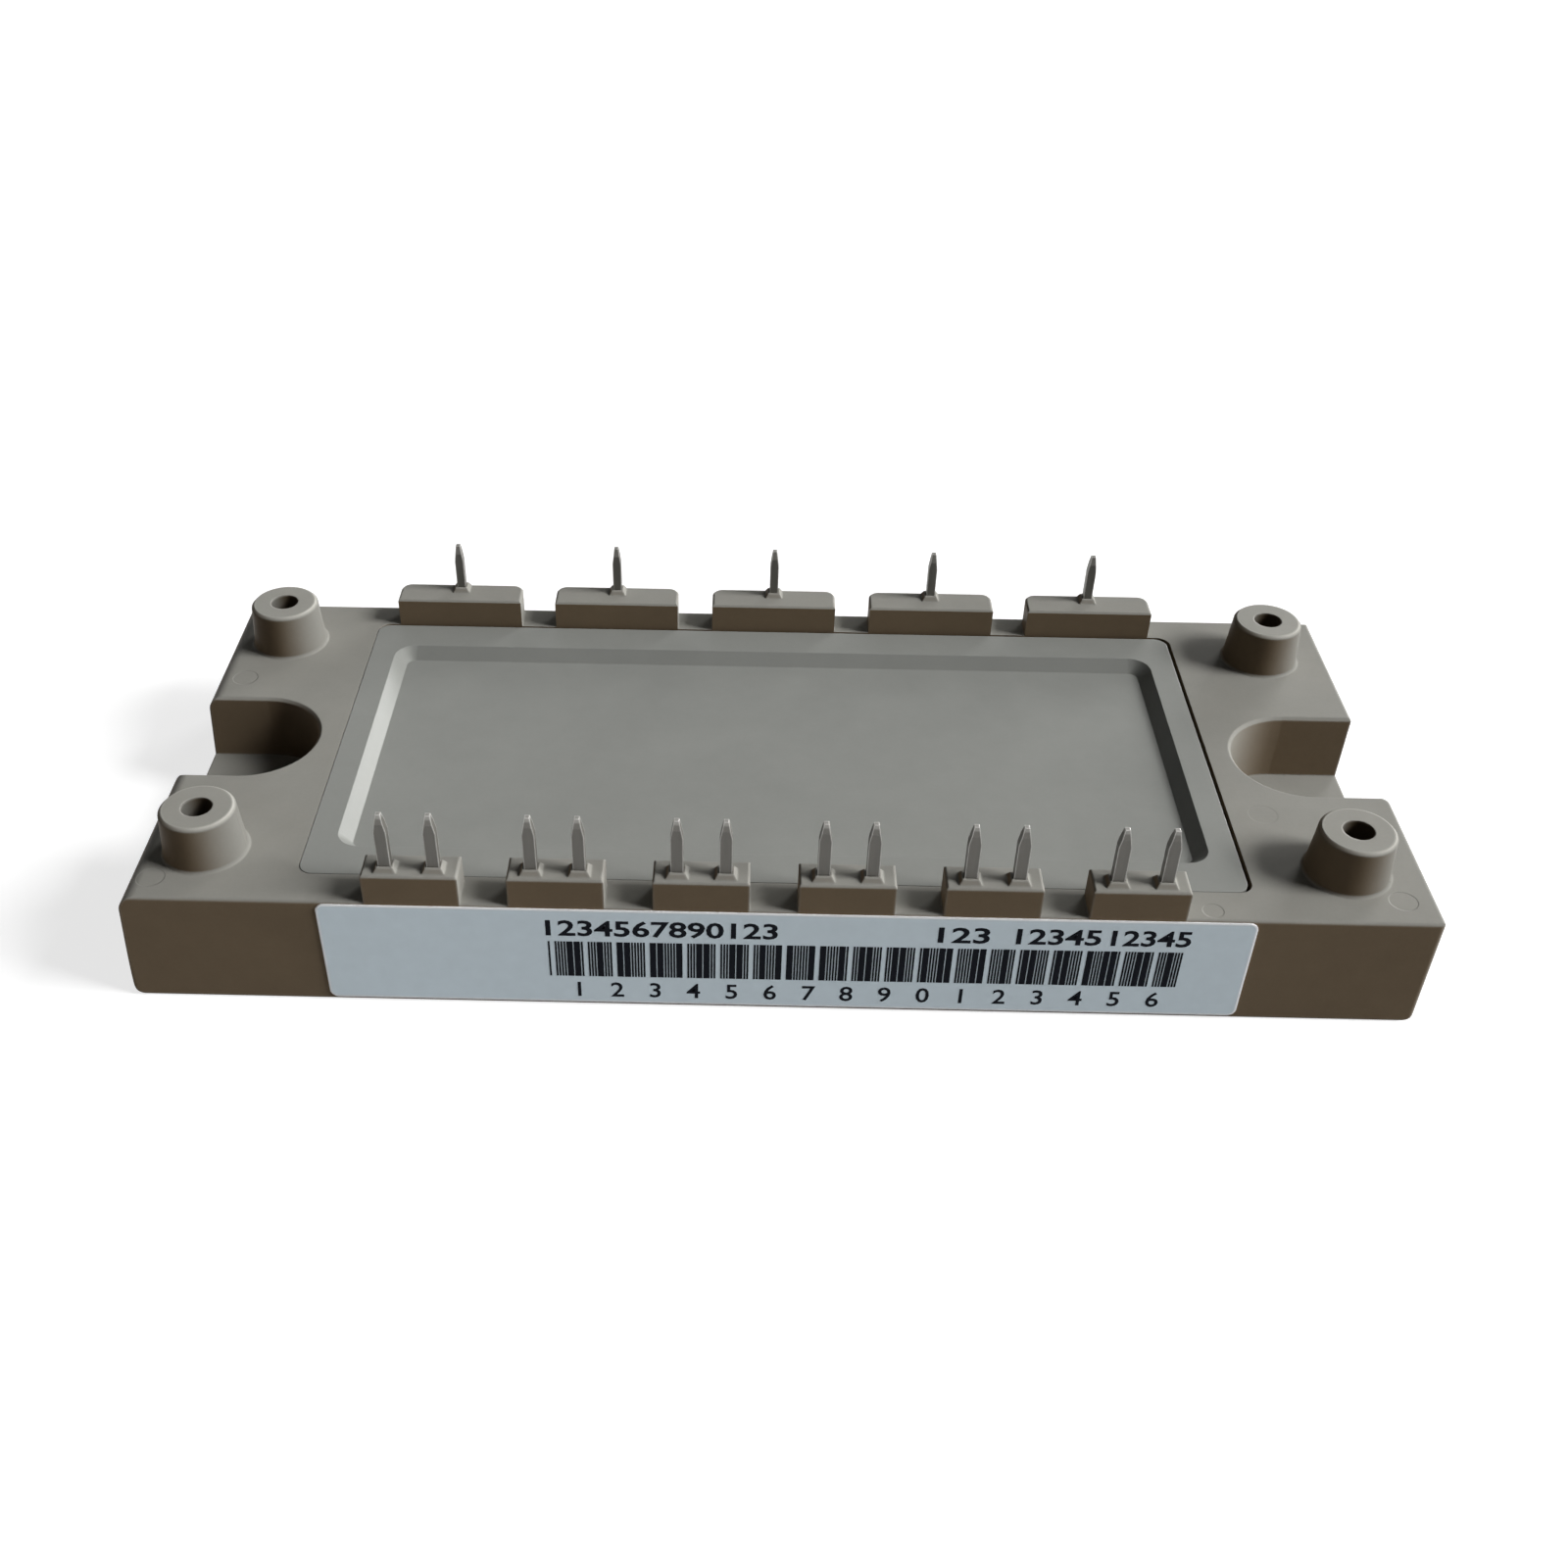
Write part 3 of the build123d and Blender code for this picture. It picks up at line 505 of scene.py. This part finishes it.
tree = material_on("housing_plastic", ["housing"])
past_lid = vectors(tree, "SUBTRACT", from_middle(tree, LID_LOW, LID_HIGH), (LID_HIGH - LID_LOW) / 2)
beside = add(tree, "SeparateXYZ", {0: past_lid}).outputs
edge_radius = ramp(tree, maths(tree, "MAXIMUM", beside["X"], beside["Y"]), (SEAM_NEAR, SEAM_FAR),
                   (SEAM_RADIUS, EDGE_RADIUS))
edges = placed(tree, edge_wear_and_highlight, radius=edge_radius, strength=EDGE_HIGHLIGHT_SHARE)
# Painted light and sheen: a paler grey on what faces up or towards the lamps at the right.
painted_lit = placed(tree, painted_light, normal=edges["Normal"], patches=0.12)["Mask"]
# Painted highlight: a paler colour along the outward edges, which catch the light.
tone = mixed(tree, edges["Mask"], mixed(tree, painted_lit, PLASTIC, PLASTIC_PAINTED_LIGHT), PLASTIC_EDGE_HIGHLIGHT)
# Painted shade on the boss sides and holes, lighter tops, and a painted highlight round the rims.
boss_painted_tone = placed(tree, boss_light_and_shade, side=BOSS_SIDE_SHADE, top=BOSS_TOP_TONE, rim=BOSS_RIM_HIGHLIGHT,
                hole=BOSS_HOLE_SHADE)["Value"]
surface = placed(tree, moulded_surface, cloud=0.065, grain=GLASS_GRAIN)
prints = 0.0
for x, y, radius, share in EJECTOR_PRINTS:
    mask = placed(tree, ejector_print, centre=(x * MM, y * MM, 0), radius=radius * MM)["Mask"]
    prints = maths(tree, "MULTIPLY_ADD", mask, share, prints)
pressed = bumped(tree, prints, strength=1.0, depth=PRINT_DEPTH, normal=edges["Normal"], inwards=True)
grained = bumped(tree, surface["Height"], strength=0.15, depth=0.02 * MM, normal=pressed)
finish(tree, {"Base Color": shade(tree, shade(tree, tone, boss_painted_tone), surface["Value"]), "Normal": grained,
              "Roughness": 0.46, "Specular IOR Level": 0.03})

# Pins
# Tinned copper blades, stamped and bent: dull grey faces with upright drawing marks, and a painted
# highlight along the edges and at the point.
TIN = (0.115, 0.110, 0.098)
# A painted highlight along the pin edges and at the point.
TIN_HIGHLIGHT = (0.66, 0.65, 0.62)
TIN_STREAKS = (2600, 2600, 300)
PIN_NODES = sorted(name for name in nodes if "_pin_" in name)
TIP = max(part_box(pin)[1].z for pin in PIN_NODES)
POINT_FROM, POINT_TO = TIP - 0.40 * MM, TIP - 0.25 * MM
TIP_HIGHLIGHT_SHARE = 0.22

tree = material_on("pin_tin", PIN_NODES)
surface = metal(tree, TIN, TIN_HIGHLIGHT, TIN_STREAKS, depth=0.35, roughness=0.42, edge_radius=0.10 * MM)
height = add(tree, "SeparateXYZ", {0: own_place(tree)}).outputs["Z"]
tip_highlight = ramp(tree, height, (POINT_FROM, POINT_TO), (0, TIP_HIGHLIGHT_SHARE))
# Painted highlight at the points of the control pins.
surface["Base Color"] = mixed(tree, tip_highlight, surface["Base Color"], TIN_HIGHLIGHT)
finish(tree, {**surface, "Metallic": 0.35})

# Gel
# Soft clear silicone, poured over the wires and cured before the lid goes on. It keeps damp from
# the chips, and gives way when the wires warm up.
GEL = (0.86, 0.87, 0.84)
GEL_WAVES = 120.0

tree = material_on("silicone_gel", ["gel"])
waves = noise(tree, own_place(tree), GEL_WAVES, detail=1.0)
finish(tree, {"Base Color": speckled(tree, GEL, waves, darkest=0.96, lightest=1.03), "Roughness": 0.12,
              "Transmission Weight": 0.85, "IOR": 1.41})

# Lid
# The same kind of plastic from another mould, a shade cooler and smoother, with faint wide smears
# and a satin shine. Painted shade darkens the dish's slopes that lean away from the right, where the
# light comes from, so that the one that faces right is as pale as the rim. Its edges carry a faint
# painted highlight.
LID = (0.233, 0.238, 0.223)
# A painted highlight along the lid's edges.
LID_EDGE_HIGHLIGHT = (0.36, 0.36, 0.34)
LID_EDGE_HIGHLIGHT_SHARE = 0.10
LID_GRAIN = 4200.0
# Painted shade on the dish's slopes that don't face right.
SLOPE_SHADE, SLOPE_LEAN, FLAT_LEAN, SLOPE_RIGHT = 0.84, 0.76, 0.94, 0.4

tree = material_on("lid_plastic", ["lid"])
surface = placed(tree, moulded_surface, cloud=0.05, grain=LID_GRAIN)
edges = placed(tree, edge_wear_and_highlight, radius=0.10 * MM, strength=LID_EDGE_HIGHLIGHT_SHARE)
axes = add(tree, "SeparateXYZ", {0: edges["Normal"]}).outputs
lean = maths(tree, "MULTIPLY_ADD", axes["X"], SLOPE_RIGHT, axes["Z"])
# Painted shade on the dish's slopes that don't face right.
slope_shade = ramp(tree, lean, (SLOPE_LEAN, FLAT_LEAN), (SLOPE_SHADE, 1))
# Painted highlight along the lid's edges.
tone = shade(tree, mixed(tree, edges["Mask"], LID, LID_EDGE_HIGHLIGHT), slope_shade)
grained = bumped(tree, surface["Height"], strength=0.2, depth=0.01 * MM, normal=edges["Normal"])
finish(tree, {"Base Color": shade(tree, tone, surface["Value"]), "Normal": grained,
              "Roughness": 0.30, "Specular IOR Level": 0.05})

# Label
# Pale coated paper, die-cut with round corners, with a painted highlight along its edge, and stuck to
# the front face. Its print is generic: a field of bars from a simple rule, and plain counting numbers.
PAPER = (0.68, 0.78, 0.84)
# A painted highlight along the paper's edge.
PAPER_EDGE_HIGHLIGHT = (0.97, 0.98, 1.0)
PAPER_FIBRE = 900.0
LABEL_CORNER = 0.7 * MM
CUT_FROM, CUT_TO = 0.22 * MM, 0.10 * MM
INK = (0.004, 0.005, 0.008)
INK_PATCHES = 2400.0
INK_THICKNESS = 0.012 * MM
PRINT_RISE = 0.0035

low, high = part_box("label")
half = (high - low) / 2
front = low.y

# The painted highlight along the paper's edge lies where the distance past the inner box, whose
# corners are the rounding's centres, comes near the corner radius.
tree = material_on("label_paper", ["label"])
core = Vector((half.x - LABEL_CORNER, 1, half.z - LABEL_CORNER))
past_core = vectors(tree, "SUBTRACT", from_middle(tree, low, high), core)
distance = vectors(tree, "LENGTH", vectors(tree, "MAXIMUM", past_core, (0, 0, 0)))
paper_rim_highlight = ramp(tree, distance, (LABEL_CORNER - CUT_FROM, LABEL_CORNER - CUT_TO), (0, 1))
fibre = noise(tree, own_place(tree), PAPER_FIBRE, detail=4.0)
edge_lean = placed(tree, edge_wear_and_highlight, radius=0.22 * MM)["Normal"]
# A painted highlight along the paper's edge.
sheet = mixed(tree, paper_rim_highlight, PAPER, PAPER_EDGE_HIGHLIGHT)
finish(tree, {"Base Color": speckled(tree, sheet, fibre, darkest=0.95, lightest=1.04),
              "Normal": bumped(tree, fibre, strength=0.1, depth=0.01 * MM, normal=edge_lean),
              "Roughness": 0.38, "Specular IOR Level": 0.20})

tree = material_on("label_ink", [])
patchy = noise(tree, own_place(tree), INK_PATCHES, detail=2.0)
finish(tree, {"Base Color": speckled(tree, INK, patchy, darkest=0.7, lightest=1.5), "Roughness": 0.50,
              "Specular IOR Level": 0.04})


def on_label(name, mesh):
    """A printed piece on the label's face, in the label ink, attached to the root body."""
    piece = bpy.data.objects.new(name, mesh)
    bpy.context.scene.collection.objects.link(piece)
    mesh.materials.clear()
    mesh.materials.append(bpy.data.materials["label_ink"])
    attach(piece, "root")


# Bars: a bar is wide where the cube of its number plus two leaves less than five when divided by
# seventeen. A space follows it, wider after the last of a group. Running sums of both give the left
# edges, stretched to fill the field. The whole print climbs a little to the right.
BARS_LEFT, BARS_RIGHT = -18.0, 32.7
BARS_LOW, BARS_HIGH = 3.3, 7.05
BARS_IN_GROUP = 7
BARS = 19 * BARS_IN_GROUP + 1
BAR_NARROW, BAR_WIDE, BAR_SPACE, GROUP_SPACE = 0.16, 0.52, 0.08, 0.40

number = np.arange(BARS)
bar_width = np.where((number + 2) ** 3 % 17 < 5, BAR_WIDE, BAR_NARROW)
space = np.where(number % BARS_IN_GROUP == 0, GROUP_SPACE, BAR_SPACE)
bar_end = np.cumsum(bar_width + space) - space
fit = (BARS_RIGHT - BARS_LEFT) / bar_end[-1]
bar_left = BARS_LEFT + fit * (bar_end - bar_width)
unit = np.array([(x, y, z) for x in (0, 1) for y in (0, 1) for z in (0, 1)], float)
bar_points = np.empty((BARS, len(unit), 3))
bar_points[:, :, 0] = (bar_left[:, None] + fit * bar_width[:, None] * unit[:, 0]) * MM
bar_points[:, :, 1] = front - INK_THICKNESS * unit[:, 1]
climb = PRINT_RISE * (bar_points[:, :, 0] - BARS_LEFT * MM)
bar_points[:, :, 2] = (BARS_LOW + (BARS_HIGH - BARS_LOW) * unit[:, 2]) * MM + climb
box_faces = np.array([(0, 1, 3, 2), (4, 6, 7, 5), (0, 4, 5, 1), (2, 3, 7, 6), (0, 2, 6, 4), (1, 5, 7, 3)])
bar_faces = (box_faces + len(unit) * number[:, None, None]).reshape(-1, 4)
bar_mesh = bpy.data.meshes.new("label_bars")
bar_mesh.from_pydata(bar_points.reshape(-1, 3).tolist(), [], bar_faces.tolist())
bar_mesh.update()
on_label("label_bars", bar_mesh)

# Numbers: each row has its count of digits, what stands between them, its left and right, its low
# and high, and how bold it is. It counts up from one, and is stretched over its place.
NUMBER_ROWS = {
    "label_numbers_top": (13, "", -18.1, 0.4, 7.62, 9.32, 0.020),
    "label_numbers_right_1": (3, "", 13.1, 17.2, 7.62, 9.28, 0.020),
    "label_numbers_right_2": (5, "", 19.3, 26.0, 7.62, 9.28, 0.020),
    "label_numbers_right_3": (5, "", 26.8, 33.1, 7.62, 9.28, 0.020),
    "label_numbers_low": (16, "   ", -15.8, 31.6, 1.02, 2.66, 0.010),
}


def digits_mesh(name, count, between, left, right, low, high, boldness):
    """A row of counting digits as a thin raised mesh, mapped from its own box to its place."""
    text = bpy.data.curves.new(name, "FONT")
    text.body = between.join(str((place_index + 1) % 10) for place_index in range(count))
    text.offset = boldness
    text.extrude = 0.5
    text.resolution_u = 3
    holder = bpy.data.objects.new(name, text)
    bpy.context.scene.collection.objects.link(holder)
    made = bpy.data.meshes.new_from_object(holder.evaluated_get(bpy.context.evaluated_depsgraph_get()))
    bpy.data.objects.remove(holder)
    points = np.empty(len(made.vertices) * 3)
    made.vertices.foreach_get("co", points)
    points = points.reshape(-1, 3)
    share = (points - points.min(0)) / np.ptp(points, 0)
    across = (left + (right - left) * share[:, 0]) * MM
    upward = (low + (high - low) * share[:, 1]) * MM + PRINT_RISE * (across - BARS_LEFT * MM)
    raised = front - INK_THICKNESS * share[:, 2]
    made.vertices.foreach_set("co", np.column_stack((across, raised, upward)).ravel())
    made.update()
    return made


for name, row in NUMBER_ROWS.items():
    on_label(name, digits_mesh(name, *row))
